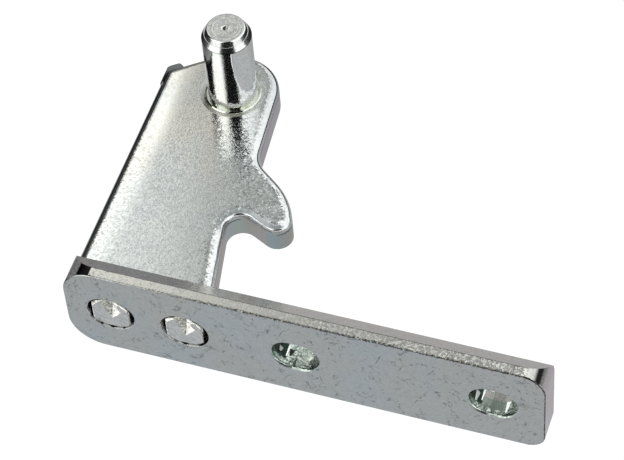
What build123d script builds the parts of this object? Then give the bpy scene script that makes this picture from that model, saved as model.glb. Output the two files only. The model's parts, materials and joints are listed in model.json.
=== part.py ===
from build123d import *
import math
import os

# Frame: millimetres, +Z up, origin on the pin axis level with the top of the arm.
# +X runs along the flange, +Y points away from its mounting face.

# Plate stock of flange and arm
FLANGE_T = 7.94
ARM_T = 7.94

# Mounting flange
FLANGE_LENGTH = 120.2
FLANGE_HEIGHT = 27.6
FLANGE_LEFT = 18.5
FLANGE_SETBACK = 72.0
R_TOP_LEFT = 8.3
R_LOW_LEFT = 8.8
R_TOP_RIGHT = 6.0
R_LOW_RIGHT = 4.6
BEVEL_DEPTH = 5.2
BEVEL_DROP = 4.2
FLANGE_EDGE = 0.4

# Screw slots in the flange, the inner one from the pin axis, the outer one from the far end
SLOT_LENGTH = 11.7
SLOT_HEIGHT = 9.5
SLOT_INNER_X = 40.2
SLOT_END = 12.7
SLOT_EDGE = 0.8

# Tenons of the arm, their heads upset in the flange's holes by a chisel dent at the upper edge
TENON_X = 2.67
TENON_PITCH = 19.0
TENON_W = 9.7
STAKE_LENGTH = 12.2
STAKE_HEIGHT = 10.8
STAKE_EDGE = 0.3
STAKE_GAP = 0.16
STAKE_SINK = 0.12
HEAD_DEPTH = 2.6
HEAD_RIM = 0.5
HEAD_EDGE = 0.45
DENT_LEFT = 2.9
DENT_RIGHT = 2.5
DENT_CREASE = 0.65
DENT_REACH = 1.5
DENT_DEPTH = 1.3

# Outline of the hinge arm, from the pin axis
ARM_LEFT = 19.35
NOSE_R = 12.1
NOSE_SIDE = 11.3
NOSE_TOP = 13.1
NOSE_TOP_FALL = 10.0
SHOULDER_R = 15.0
SHOULDER_X = 11.2
SHOULDER_Y = 9.15
SHOULDER_RISE = 36.9
CORNER_R = 1.6
WAIST_LEAN = 4.9
WAIST_R = 8.0
HOOK_BACK_X = 19.9
HOOK_BACK_Y = 24.35
HOOK_BACK_FALL = 36.5
HOOK_BACK_R = 21.0
HOOK_END_X = 26.2
HOOK_END_Y = 31.7
HOOK_END_FALL = 68.7
HOOK_TIP_R = 3.9
NOTCH_X = 19.4
NOTCH_Y = 38.0
NOTCH_RISE = 25.6
NOTCH_R = 4.0
LEG_X = 12.45
LEG_Y = 43.8
LEG_LEAN = 11.25
EDGE_ROLL = 2.4

# Shear nub left at the arm's rear left corner, its ragged crest in shares of its width and height
NUB_W = 3.0
NUB_H = 1.6
NUB_DROP = 0.9
NUB_REAR = [(1.0, 0.5), (0.8, 0.8)]
NUB_SIDE = [(0.2, 1.1), (0.0, 0.7)]

# Hinge pin
PIN_D = 12.7
PIN_HEIGHT = 24.1
TIP_D = 9.7
TIP_LENGTH = 2.8
TIP_EDGE = 0.45
RIDGE_D = 11.2
RIDGE_STEP = 0.12
DIMPLE_D = 2.2
DIMPLE_DEPTH = 0.6
COLLAR_D = 14.6
COLLAR_DEPTH = 0.8
COLLAR_SINK = 0.15
LIP_W = 0.5
LIP_H = 0.25
RING_D = 16.9
RING_DEPTH = 0.4
SHANK_D = 9.5
RIVET_D = 12.6
RIVET_DEPTH = 1.8

# Levels shared by the pieces
ARM_MID_Z = -ARM_T / 2
FRONT_Y = -FLANGE_SETBACK
REAR_Y = FRONT_Y + FLANGE_T
TENON_XS = [TENON_X - TENON_PITCH / 2, TENON_X + TENON_PITCH / 2]
FAR_X = FLANGE_LENGTH - FLANGE_LEFT
SLOT_XS = [SLOT_INNER_X, FAR_X - SLOT_END]
RUN_IN = 6.0
OVERCUT = 1.0

# Closest two places can be and still differ, and the room a corner leaves its neighbour or its roll
SAME = 1e-3
TIGHT_FIT = 0.98
ROLL_ROOM = 1.15


def line_meet(p, a, q, b):
    """Point where two lines meet, each given by a point and a heading in degrees."""
    ca, sa = math.cos(math.radians(a)), math.sin(math.radians(a))
    cb, sb = math.cos(math.radians(b)), math.sin(math.radians(b))
    cross = ca * sb - sa * cb
    along = ((q[0] - p[0]) * sb - (q[1] - p[1]) * cb) / cross
    return (p[0] + along * ca, p[1] + along * sa)


def rounded_wire(points, radii):
    """Closed wire through the points in the XY plane, each corner rounded by its own radius."""
    count = len(points)
    trims = []
    for i in range(count):
        before, here, after = points[i - 1], points[i], points[(i + 1) % count]
        u = Vector(before[0] - here[0], before[1] - here[1]).normalized()
        v = Vector(after[0] - here[0], after[1] - here[1]).normalized()
        half = u.get_angle(v) / 2
        reach = radii[i] / math.tan(math.radians(half))
        trims.append((Vector(*here), u, v, half, reach))
    arcs = []
    for i in range(count):
        here, u, v, half, reach = trims[i]
        before = (Vector(*points[i - 1]) - here).length - trims[i - 1][4]
        after = (Vector(*points[(i + 1) % count]) - here).length - trims[(i + 1) % count][4]
        fit = min(1.0, before / reach, after / reach) if reach > 0 else 1.0
        reach = reach * fit * (1.0 if fit == 1.0 else TIGHT_FIT)
        radius = reach * math.tan(math.radians(half))
        start, end = here + u * reach, here + v * reach
        inward = (u + v).normalized()
        middle = here + inward * (radius / math.sin(math.radians(half)) - radius)
        arcs.append((start, middle, end))
    edges = []
    for i in range(count):
        start, middle, end = arcs[i]
        edges.append(Edge.make_three_point_arc(start, middle, end))
        following = arcs[(i + 1) % count][0]
        if (following - end).length > SAME:
            edges.append(Edge.make_line(end, following))
    return Wire(edges)


def bar(x_size, y_from, y_to, z_size, x, z):
    """Rectangular block running from y_from to y_to, centred on x and z."""
    block = Solid.make_box(x_size, y_to - y_from, z_size)
    return block.moved(Location((x - x_size / 2, y_from, z - z_size / 2)))


def rod(diameter, y_from, y_to, x, z):
    """Round bar along Y."""
    return Solid.make_cylinder(diameter / 2, y_to - y_from, Plane((x, y_from, z), z_dir=(0, 1, 0)))


def obround(length, height, y_from, y_to, x):
    """Bar along Y with half-round ends, lying at the arm's mid height."""
    end_x = (length - height) / 2
    body = bar(2 * end_x, y_from, y_to, height, x, ARM_MID_Z)
    body = body + rod(height, y_from, y_to, x - end_x, ARM_MID_Z)
    return body + rod(height, y_from, y_to, x + end_x, ARM_MID_Z)


def pierced(plate, length, height, edge, x):
    """Flange with one obround hole through it, its front rim rounded by the punch."""
    plate = plate - obround(length, height, FRONT_Y - OVERCUT, REAR_Y + OVERCUT, x)
    rims = plate.faces().sort_by(Axis.Y)[0].inner_wires()
    rim = min(rims, key=lambda wire: abs(wire.center().X - x))
    return plate.fillet(edge, rim.edges())


def make_flange():
    """Blanked plate with rounded ends, bevelled rear edges, stake holes and screw slots."""
    left = -FLANGE_LEFT
    low = ARM_MID_Z - FLANGE_HEIGHT / 2
    high = ARM_MID_Z + FLANGE_HEIGHT / 2
    outline = rounded_wire(
        [(left, low), (FAR_X, low), (FAR_X, high), (left, high)],
        [R_LOW_LEFT, R_LOW_RIGHT, R_TOP_RIGHT, R_TOP_LEFT],
    )
    plate = Solid.extrude(Face(outline), Vector(0, 0, -FLANGE_T))
    plate = plate.rotate(Axis.X, 90).moved(Location((0, FRONT_Y, 0)))
    section = [
        (FRONT_Y - OVERCUT, low - OVERCUT),
        (REAR_Y - BEVEL_DEPTH, low - OVERCUT),
        (REAR_Y - BEVEL_DEPTH, low),
        (REAR_Y, low + BEVEL_DROP),
        (REAR_Y, high - BEVEL_DROP),
        (REAR_Y - BEVEL_DEPTH, high),
        (REAR_Y - BEVEL_DEPTH, high + OVERCUT),
        (FRONT_Y - OVERCUT, high + OVERCUT),
    ]
    profile = Wire.make_polygon([Vector(left - OVERCUT, y, z) for y, z in section], close=True)
    plate = plate & Solid.extrude(Face(profile), Vector(FLANGE_LENGTH + 2 * OVERCUT, 0, 0))
    plate = plate.fillet(FLANGE_EDGE, plate.faces().sort_by(Axis.Y)[0].edges())
    for x in TENON_XS:
        plate = pierced(plate, STAKE_LENGTH, STAKE_HEIGHT, STAKE_EDGE, x)
    for x in SLOT_XS:
        plate = pierced(plate, SLOT_LENGTH, SLOT_HEIGHT, SLOT_EDGE, x)
    return plate


def arm_outline():
    """Wire of the hooked arm, read round from the flange."""
    left = -ARM_LEFT
    leg_head = -90 + LEG_LEAN
    waist_head = -90 + WAIST_LEAN
    leg = (LEG_X, -LEG_Y)
    notch = (NOTCH_X, -NOTCH_Y)
    hook_end = (HOOK_END_X, -HOOK_END_Y)
    hook_back = (HOOK_BACK_X, -HOOK_BACK_Y)
    side = (NOSE_SIDE, 0)
    top = (0, NOSE_TOP)
    shoulder = (-SHOULDER_X, SHOULDER_Y)
    run_in = REAR_Y - RUN_IN
    points = [
        (left, run_in),
        line_meet(leg, leg_head, (0, run_in), 0),
        line_meet(notch, -NOTCH_RISE, leg, leg_head),
        line_meet(hook_end, -HOOK_END_FALL, notch, -NOTCH_RISE),
        line_meet(hook_back, -HOOK_BACK_FALL, hook_end, -HOOK_END_FALL),
        line_meet(side, waist_head, hook_back, -HOOK_BACK_FALL),
        line_meet(top, -NOSE_TOP_FALL, side, waist_head),
        line_meet(shoulder, SHOULDER_RISE, top, -NOSE_TOP_FALL),
        line_meet((left, 0), 90, shoulder, SHOULDER_RISE),
    ]
    corner = max(CORNER_R, ROLL_ROOM * EDGE_ROLL)
    radii = [corner, corner, NOTCH_R, HOOK_TIP_R, HOOK_BACK_R, WAIST_R, NOSE_R, SHOULDER_R, corner]
    return points, radii


def staked_tenon(x):
    """Tenon through the flange, its flush head upset to the hole by a chisel dent."""
    front = FRONT_Y + STAKE_SINK
    neck = front + HEAD_DEPTH
    room_x = STAKE_LENGTH - 2 * STAKE_GAP
    room_z = STAKE_HEIGHT - 2 * HEAD_RIM
    room = obround(room_x, room_z, front - OVERCUT, REAR_Y + OVERCUT, x)
    head = bar(TENON_W, front, neck, STAKE_HEIGHT, x, ARM_MID_Z) & room
    head = head.fillet(HEAD_EDGE, head.faces().sort_by(Axis.Y)[0].edges())
    tenon = head + (bar(TENON_W, neck, REAR_Y, ARM_T, x, ARM_MID_Z) & room)
    crown = ARM_MID_Z + room_z / 2
    mouth = Wire.make_polygon(
        [
            Vector(x - DENT_LEFT, front, crown),
            Vector(x + DENT_RIGHT, front, crown),
            Vector(x + DENT_CREASE, front + DENT_DEPTH, crown),
        ],
        close=True,
    )
    point = Vertex(x + DENT_CREASE / 2, front, ARM_MID_Z - DENT_REACH)
    return tenon - Solid.make_loft([mouth, point], ruled=True)


def make_arm():
    """Hooked plate with rolled upper edges, pin seat, shear nub and two staked tenons."""
    points, radii = arm_outline()
    plate = Solid.extrude(Face(rounded_wire(points, radii)), Vector(0, 0, -ARM_T))
    plate = plate.fillet(EDGE_ROLL, plate.faces().sort_by(Axis.Z)[-1].edges())
    plate = plate - bar(2 * FLANGE_LENGTH, REAR_Y - 2 * RUN_IN, REAR_Y, 2 * ARM_T, 0, ARM_MID_Z)
    corner = points[-1]
    rise = math.tan(math.radians(SHOULDER_RISE))
    reach = NUB_W + NUB_H
    base = [(0, -reach), (reach, rise * reach - NUB_H)]
    rear = [(NUB_W * w, rise * NUB_W * w + NUB_H * h) for w, h in NUB_REAR]
    side = [(NUB_W * w, NUB_H * h) for w, h in NUB_SIDE]
    crest = [Vector(corner[0] + x, corner[1] + y, -NUB_DROP) for x, y in base + rear + side]
    nub = Face(Wire.make_polygon(crest, close=True))
    plate = plate + Solid.extrude(nub, Vector(0, 0, NUB_DROP - ARM_T))
    for x in TENON_XS:
        plate = plate + staked_tenon(x)
    return plate - make_pin_seat()


def turned(profile):
    """Solid of revolution about Z from a closed list of radius and height pairs."""
    wire = Wire.make_polygon([Vector(r, 0, z) for r, z in profile], close=True)
    return Solid.revolve(Face(wire), 360, Axis.Z)


def make_pin_seat():
    """Cutter for the coined ring, the shank hole and the rivet countersink in the arm."""
    return turned(
        [
            (0, OVERCUT),
            (RING_D / 2, OVERCUT),
            (RING_D / 2, 0),
            (COLLAR_D / 2, -RING_DEPTH),
            (COLLAR_D / 2, -COLLAR_DEPTH),
            (SHANK_D / 2, -COLLAR_DEPTH),
            (SHANK_D / 2, -ARM_T + RIVET_DEPTH),
            (RIVET_D / 2, -ARM_T),
            (RIVET_D / 2, -ARM_T - OVERCUT),
            (0, -ARM_T - OVERCUT),
        ]
    )


def make_pin():
    """Turned pin: dimpled tip, lipped collar in the coined ring, riveted lower end."""
    ridge_z = PIN_HEIGHT - TIP_LENGTH * (RIDGE_D - TIP_D) / (PIN_D - TIP_D)
    pin = turned(
        [
            (0, PIN_HEIGHT - DIMPLE_DEPTH),
            (DIMPLE_D / 2, PIN_HEIGHT),
            (TIP_D / 2, PIN_HEIGHT),
            (RIDGE_D / 2 - RIDGE_STEP, ridge_z),
            (RIDGE_D / 2, ridge_z),
            (PIN_D / 2, PIN_HEIGHT - TIP_LENGTH),
            (PIN_D / 2, -COLLAR_SINK),
            (COLLAR_D / 2 - LIP_W, -COLLAR_SINK),
            (COLLAR_D / 2 - LIP_W / 2, LIP_H - COLLAR_SINK),
            (COLLAR_D / 2, -COLLAR_SINK),
            (COLLAR_D / 2, -COLLAR_DEPTH),
            (SHANK_D / 2, -COLLAR_DEPTH),
            (SHANK_D / 2, -ARM_T + RIVET_DEPTH),
            (RIVET_D / 2, -ARM_T),
            (0, -ARM_T),
        ]
    )
    rims = [e for e in pin.edges().filter_by(GeomType.CIRCLE) if e.center().Z > PIN_HEIGHT - SAME]
    return pin.fillet(TIP_EDGE, [max(rims, key=lambda edge: edge.radius)])


def main():
    os.makedirs("parts", exist_ok=True)
    export_step(make_flange(), "parts/mounting_flange.step")
    export_step(make_arm(), "parts/hinge_arm.step")
    export_step(make_pin(), "parts/hinge_pin.step")


main()
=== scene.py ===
"""Refrigerator door hinge: plated flange, staked hooked arm and turned pin, under soft studio light."""

import json
import logging
import math
from dataclasses import dataclass, field
from enum import Enum
from typing import Sequence, Union

import bpy
from mathutils import Matrix, Vector


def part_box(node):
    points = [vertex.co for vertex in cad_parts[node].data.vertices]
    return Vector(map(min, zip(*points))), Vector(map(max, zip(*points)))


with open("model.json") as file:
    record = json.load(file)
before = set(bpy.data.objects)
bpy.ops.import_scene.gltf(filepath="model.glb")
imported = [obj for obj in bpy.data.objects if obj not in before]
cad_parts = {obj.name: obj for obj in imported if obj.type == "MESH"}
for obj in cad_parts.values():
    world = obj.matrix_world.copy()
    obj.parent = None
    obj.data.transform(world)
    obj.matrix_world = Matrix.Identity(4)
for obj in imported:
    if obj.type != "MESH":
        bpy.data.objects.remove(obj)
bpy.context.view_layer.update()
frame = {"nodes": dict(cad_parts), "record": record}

LOG = logging.getLogger("hinge")
MM = 0.001
IMAGE_W = 624
LEVEL = (1.0, 1.0, 0.0)
WHITE = (1.0, 1.0, 1.0, 1.0)

Colour = tuple[float, float, float]
Point = tuple[float, float, float]
Heading = tuple[float, float, float]
Ramp = tuple[float, float]
Band = tuple[float, float, float, float]
Socket = bpy.types.NodeSocket
Value = Union[float, Sequence[float], Socket]


class Kind(Enum):
    """Kinds of socket on a shared effect."""

    VALUE = "NodeSocketFloat"
    VECTOR = "NodeSocketVector"


class Spread(Enum):
    """Ways in which cells fill their coordinates."""

    SHEET = "2D"
    SOLID = "3D"


@dataclass(frozen=True)
class Surface:
    """Where a point of a piece lies, in millimetres, and which way it faces."""

    place: Socket
    x: Socket
    y: Socket
    z: Socket
    faces: Socket
    face_x: Socket
    face_y: Socket
    face_z: Socket


class Graph:
    """Lays out the nodes of one shader tree."""

    def __init__(self, tree: bpy.types.NodeTree) -> None:
        """Keeps the tree and empties it.

        Args:
            tree: node tree of a material, a world or a node group.
        """
        self.tree = tree
        self.tree.nodes.clear()

    def add(self, kind: str, **settings: object) -> bpy.types.Node:
        """Adds one node.

        Args:
            kind: node type, without its ShaderNode prefix.
            settings: node properties to set.

        Returns:
            The new node.
        """
        node = self.tree.nodes.new("ShaderNode" + kind)
        for key, value in settings.items():
            setattr(node, key, value)
        return node

    def feed(self, socket: Socket, value: Value) -> None:
        """Links a socket to another one, or sets it to a plain value.

        Args:
            socket: input socket.
            value: output socket, number or vector.
        """
        if isinstance(value, Socket):
            self.tree.links.new(value, socket)
        else:
            socket.default_value = value

    def math(self, operation: str, a: Value, b: Value = 0.0) -> Socket:
        """Adds a Math node.

        Args:
            operation: Blender's name of the operation.
            a: first operand.
            b: second operand.

        Returns:
            The result.
        """
        node = self.add("Math", operation=operation)
        self.feed(node.inputs[0], a)
        self.feed(node.inputs[1], b)
        return node.outputs[0]

    def times(self, *values: Value) -> Socket:
        """Multiplies values.

        Args:
            values: two or more factors.

        Returns:
            The product.
        """
        product = values[0]
        for value in values[1:]:
            product = self.math("MULTIPLY", product, value)
        return product

    def plus(self, a: Value, b: Value) -> Socket:
        """Returns the sum of two values."""
        return self.math("ADD", a, b)

    def minus(self, a: Value, b: Value) -> Socket:
        """Returns the first value less the second."""
        return self.math("SUBTRACT", a, b)

    def rest(self, share: Value) -> Socket:
        """Returns what a share leaves of 1."""
        return self.math("SUBTRACT", 1.0, share)

    def most(self, a: Value, b: Value) -> Socket:
        """Returns the greater of two values."""
        return self.math("MAXIMUM", a, b)

    def off(self, a: Value, b: Value) -> Socket:
        """Returns how far apart two values are."""
        return self.math("ABSOLUTE", self.minus(a, b))

    def vector(self, operation: str, a: Value, b: Value = (0.0, 0.0, 0.0)) -> Socket:
        """Adds a Vector Math node.

        Args:
            operation: Blender's name of the operation.
            a: first operand.
            b: second operand.

        Returns:
            The vector, or the value of a product or length.
        """
        node = self.add("VectorMath", operation=operation)
        self.feed(node.inputs[0], a)
        self.feed(node.inputs[1], b)
        return node.outputs["Value"] if operation in ("DOT_PRODUCT", "LENGTH") else node.outputs["Vector"]

    def scaled(self, vector: Value, factor: Value) -> Socket:
        """Scales a vector.

        Args:
            vector: vector or colour.
            factor: scale.

        Returns:
            The scaled vector.
        """
        node = self.add("VectorMath", operation="SCALE")
        self.feed(node.inputs[0], vector)
        self.feed(node.inputs["Scale"], factor)
        return node.outputs["Vector"]

    def pushed(self, lean: Value, toward: Value, share: Value) -> Socket:
        """Returns a lean that is pushed some way towards a heading."""
        return self.vector("ADD", lean, self.scaled(toward, share))

    def parts(self, vector: Socket) -> list[Socket]:
        """Splits a vector.

        Args:
            vector: vector.

        Returns:
            Its three parts.
        """
        node = self.add("SeparateXYZ")
        self.feed(node.inputs[0], vector)
        return list(node.outputs)

    def joined(self, x: Value, y: Value, z: Value = 0.0) -> Socket:
        """Puts a vector together.

        Args:
            x: first part.
            y: second part.
            z: third part.

        Returns:
            The vector.
        """
        node = self.add("CombineXYZ")
        for socket, value in zip(node.inputs, (x, y, z)):
            self.feed(socket, value)
        return node.outputs[0]

    def step(self, value: Value, low: Value, high: Value, below: Value = 0.0, above: Value = 1.0) -> Socket:
        """Adds a smooth step.

        Args:
            value: what is read.
            low: value at which the step starts.
            high: value at which the step ends.
            below: result below the step.
            above: result above the step.

        Returns:
            The stepped value.
        """
        node = self.add("MapRange", interpolation_type="SMOOTHSTEP")
        for socket, item in zip(node.inputs, (value, low, high, below, above)):
            self.feed(socket, item)
        return node.outputs[0]

    def fall(self, value: Value, low: Value, high: Value) -> Socket:
        """Returns a smooth step down, from 1 at low to 0 at high."""
        return self.step(value, low, high, 1.0, 0.0)

    def band(self, value: Value, foot: Value, rise: Value, drop: Value, end: Value) -> Socket:
        """Returns 1 between rise and drop, and 0 below the foot and beyond the end."""
        return self.times(self.step(value, foot, rise), self.fall(value, drop, end))

    def ease(self, mask: Value, below: Value, above: Value) -> Socket:
        """Returns a value that eases from one to another as a mask goes from 0 to 1."""
        return self.step(mask, 0.0, 1.0, below, above)

    def toned(self, colour: Value, mask: Value, tone: Value) -> Socket:
        """Returns a colour that is scaled by a tone where a mask is 1."""
        return self.scaled(colour, self.ease(mask, 1.0, tone))

    def mix(self, share: Value, a: Value, b: Value) -> Socket:
        """Adds a colour Mix node.

        Args:
            share: share of the second colour.
            a: first colour.
            b: second colour.

        Returns:
            The mixed colour.
        """
        # A Mix node's colour sockets come after those for numbers and vectors.
        node = self.add("Mix", data_type="RGBA")
        self.feed(node.inputs["Factor"], share)
        for socket, value in zip(node.inputs[6:8], (a, b)):
            self.feed(socket, value if isinstance(value, Socket) else (*value, 1.0))
        return node.outputs[2]

    def noise(self, place: Socket, scale: Value, detail: float = 2.0, roughness: float = 0.5) -> Socket:
        """Adds a 3-D noise.

        Args:
            place: coordinates.
            scale: features for each unit of the coordinates.
            detail: octaves.
            roughness: share of the finer octaves.

        Returns:
            The noise value.
        """
        node = self.add("TexNoise")
        settings = {"Vector": place, "Scale": scale, "Detail": detail, "Roughness": roughness}
        for name, value in settings.items():
            self.feed(node.inputs[name], value)
        return node.outputs["Fac"]

    def stirred(self, place: Socket, scale: float, share: float) -> Socket:
        """Moves coordinates about by a noise.

        Args:
            place: coordinates.
            scale: features for each unit of the coordinates.
            share: how far they are moved.

        Returns:
            The moved coordinates.
        """
        node = self.add("TexNoise")
        self.feed(node.inputs["Vector"], place)
        node.inputs["Scale"].default_value = scale
        return self.pushed(place, node.outputs["Color"], share)

    def cells(self, place: Socket, spread: Spread, scale: float = 1.0) -> bpy.types.Node:
        """Adds uneven cells.

        Args:
            place: coordinates.
            spread: whether the cells fill a sheet or a solid.
            scale: cells for each unit of the coordinates.

        Returns:
            The node, with the cells' own draws and distances.
        """
        node = self.add("TexVoronoi", voronoi_dimensions=spread.value)
        self.feed(node.inputs["Vector"], place)
        node.inputs["Scale"].default_value = scale
        return node

    def place_mm(self) -> Socket:
        """Returns the hinge's own coordinates in millimetres."""
        return self.scaled(self.add("TexCoord").outputs["Object"], 1.0 / MM)

    def surface(self) -> Surface:
        """Returns the place and the facing of the point that is shaded."""
        place = self.place_mm()
        faces = self.add("TexCoord").outputs["Normal"]
        return Surface(place, *self.parts(place), faces, *self.parts(faces))

    def radius(self, at: Surface) -> Socket:
        """Returns the distance from the pin's axis."""
        return self.vector("LENGTH", self.joined(at.x, at.y))


class Effect:
    """A look that finishes place more than once, kept as one shader node group."""

    name = ""
    takes: tuple[tuple[str, Kind], ...] = ()
    gives: tuple[tuple[str, Kind], ...] = ()

    def __init__(self) -> None:
        """Makes the group with its sockets and lays out its nodes."""
        self.tree = bpy.data.node_groups.new(self.name, "ShaderNodeTree")
        for way, sockets in (("INPUT", self.takes), ("OUTPUT", self.gives)):
            for name, kind in sockets:
                self.tree.interface.new_socket(name, in_out=way, socket_type=kind.value)
        graph = Graph(self.tree)
        entry = self.tree.nodes.new("NodeGroupInput")
        leave = self.tree.nodes.new("NodeGroupOutput")
        results = self.lay_out(graph, {name: entry.outputs[name] for name, _ in self.takes})
        for name, value in results.items():
            graph.feed(leave.inputs[name], value)

    def lay_out(self, graph: Graph, given: dict[str, Socket]) -> dict[str, Socket]:
        """Lays out the group's nodes.

        Args:
            graph: the group's graph.
            given: the group's inputs by name.

        Returns:
            The group's outputs by name.
        """
        raise NotImplementedError

    def use(self, graph: Graph, **values: Value) -> dict[str, Socket]:
        """Places the group in a material.

        Args:
            graph: the material's graph.
            values: the group's inputs by name.

        Returns:
            The group's outputs by name.
        """
        node = graph.add("Group", node_tree=self.tree)
        for name, value in values.items():
            graph.feed(node.inputs[name], value)
        return {name: node.outputs[name] for name, _ in self.gives}


class ZincGrain(Effect):
    """Fine crystals of plated zinc: a height, a fleck of light for each crystal and its lean."""

    name = "zinc_grain"
    takes = (("Place", Kind.VECTOR), ("Size", Kind.VALUE))
    gives = (("Height", Kind.VALUE), ("Fleck", Kind.VALUE), ("Lean", Kind.VECTOR))
    rolling = (0.9, 3.0, 0.6)
    sway_scale = 1.7
    sway_share = 0.9

    def lay_out(self, graph: Graph, given: dict[str, Socket]) -> dict[str, Socket]:
        """Lays out crystals as uneven cells over a rolling noise.

        Args:
            graph: the group's graph.
            given: the group's inputs by name.

        Returns:
            The group's outputs by name.
        """
        place = graph.scaled(given["Place"], graph.math("DIVIDE", 1.0, given["Size"]))
        crystal = graph.cells(graph.stirred(place, self.sway_scale, self.sway_share), Spread.SOLID)
        lean = graph.vector("SUBTRACT", crystal.outputs["Color"], (0.5, 0.5, 0.5))
        fleck = graph.parts(crystal.outputs["Color"])[0]
        return {"Height": graph.noise(place, *self.rolling), "Fleck": fleck, "Lean": lean}


class FineScuffs(Effect):
    """Short bent scratches, at most one in each cell of a grid that the spacing sets."""

    name = "fine_scuffs"
    takes = (("Place", Kind.VECTOR), ("Spacing", Kind.VALUE), ("Width", Kind.VALUE), ("Share", Kind.VALUE))
    gives = (("Mask", Kind.VALUE),)
    waver_scale = 3.0
    waver_share = 0.16
    bend = 2.4
    shortest = 0.12
    longer = 0.35
    taper = 0.6
    patch_scale = 0.9
    patch_ramp = (0.36, 0.56)
    depth_draw = 5.7
    faintest = 0.3

    def lay_out(self, graph: Graph, given: dict[str, Socket]) -> dict[str, Socket]:
        """Lays out one scratch about each cell's middle, turned and bent by the cell's own draw.

        Args:
            graph: the group's graph.
            given: the group's inputs by name.

        Returns:
            The group's outputs by name.
        """
        shrink = graph.math("DIVIDE", 1.0, given["Spacing"])
        place = graph.stirred(graph.scaled(given["Place"], shrink), self.waver_scale, self.waver_share)
        cell = graph.cells(place, Spread.SHEET)
        draw = graph.parts(cell.outputs["Color"])
        local = graph.parts(graph.vector("SUBTRACT", place, cell.outputs["Position"]))
        turn = graph.times(draw[0], math.tau)
        cos = graph.math("COSINE", turn)
        sin = graph.math("SINE", turn)
        along = graph.plus(graph.times(local[0], cos), graph.times(local[1], sin))
        across = graph.minus(graph.times(local[1], cos), graph.times(local[0], sin))
        bow = graph.times(along, along, graph.minus(draw[1], 0.5), self.bend)
        off = graph.math("ABSOLUTE", graph.plus(across, bow))
        line = graph.fall(off, 0.0, graph.times(given["Width"], shrink))
        reach = graph.plus(graph.times(draw[1], self.longer), self.shortest)
        ends = graph.fall(graph.math("ABSOLUTE", along), graph.times(reach, self.taper), reach)
        kept = graph.math("LESS_THAN", draw[2], given["Share"])
        patchy = graph.step(graph.noise(given["Place"], self.patch_scale), *self.patch_ramp)
        depth = graph.ease(graph.math("FRACT", graph.times(draw[1], self.depth_draw)), self.faintest, 1.0)
        return {"Mask": graph.times(line, ends, kept, patchy, depth)}


class HairLines(Effect):
    """Long wandering hairlines, broken up by a slow noise."""

    name = "hair_lines"
    takes = (("Place", Kind.VECTOR), ("Size", Kind.VALUE), ("Width", Kind.VALUE))
    gives = (("Mask", Kind.VALUE),)
    wander = (1.0, 4.0, 0.6)
    break_scale = 2.3
    break_ramp = (0.48, 0.62)

    def lay_out(self, graph: Graph, given: dict[str, Socket]) -> dict[str, Socket]:
        """Lays out the middle contour of a noise as a thin line.

        Args:
            graph: the group's graph.
            given: the group's inputs by name.

        Returns:
            The group's outputs by name.
        """
        shrink = graph.math("DIVIDE", 1.0, given["Size"])
        place = graph.scaled(given["Place"], shrink)
        off = graph.off(graph.noise(place, *self.wander), 0.5)
        line = graph.fall(off, 0.0, graph.times(given["Width"], shrink))
        broken = graph.step(graph.noise(place, self.break_scale), *self.break_ramp)
        return {"Mask": graph.times(line, broken)}


class PlatingWash(Effect):
    """Slow drift of the plating's tint over a few centimetres."""

    name = "plating_wash"
    takes = (("Place", Kind.VECTOR), ("Size", Kind.VALUE))
    gives = (("Drift", Kind.VALUE),)
    drift_ramp = (0.32, 0.68)

    def lay_out(self, graph: Graph, given: dict[str, Socket]) -> dict[str, Socket]:
        """Returns the drift, a slow noise of the given size."""
        place = graph.scaled(given["Place"], graph.math("DIVIDE", 1.0, given["Size"]))
        return {"Drift": graph.step(graph.noise(place, 1.0), *self.drift_ramp)}


class ShearBurr(Effect):
    """Ragged dark line that blanking leaves along an edge."""

    name = "shear_burr"
    takes = (("Place", Kind.VECTOR), ("Distance", Kind.VALUE), ("Width", Kind.VALUE))
    gives = (("Mask", Kind.VALUE),)
    ragged = (2.4, 3.0, 0.75)
    thin = (0.28, 0.46, 0.20, 0.50)
    tooth = (0.52, 0.68, 0.0, 0.9)
    core = 0.6

    def lay_out(self, graph: Graph, given: dict[str, Socket]) -> dict[str, Socket]:
        """Lays out a line whose edge wanders with a noise.

        Args:
            graph: the group's graph.
            given: the group's inputs by name.

        Returns:
            The group's outputs by name.
        """
        ragged = graph.noise(given["Place"], *self.ragged)
        reach = graph.plus(graph.step(ragged, *self.thin), graph.step(ragged, *self.tooth))
        reach = graph.times(given["Width"], reach)
        return {"Mask": graph.fall(given["Distance"], graph.times(reach, self.core), reach)}


@dataclass
class Effects:
    """The shared effects, each built once."""

    grain: ZincGrain = field(default_factory=ZincGrain)
    scuffs: FineScuffs = field(default_factory=FineScuffs)
    hairs: HairLines = field(default_factory=HairLines)
    wash: PlatingWash = field(default_factory=PlatingWash)
    burr: ShearBurr = field(default_factory=ShearBurr)


@dataclass(frozen=True)
class SkyPanel:
    """One soft stretch of the light tent, told by bearing and height as seen from the hinge."""

    bearing_deg: float
    half_width_deg: float
    low_deg: float
    high_deg: float
    soft_deg: float
    colour: Colour


@dataclass(frozen=True)
class Softbox:
    """One flat lamp that stands close to the hinge."""

    name: str
    centre_mm: Point
    aim_mm: Point
    width_mm: float
    height_mm: float
    colour: Colour
    power: float


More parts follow.
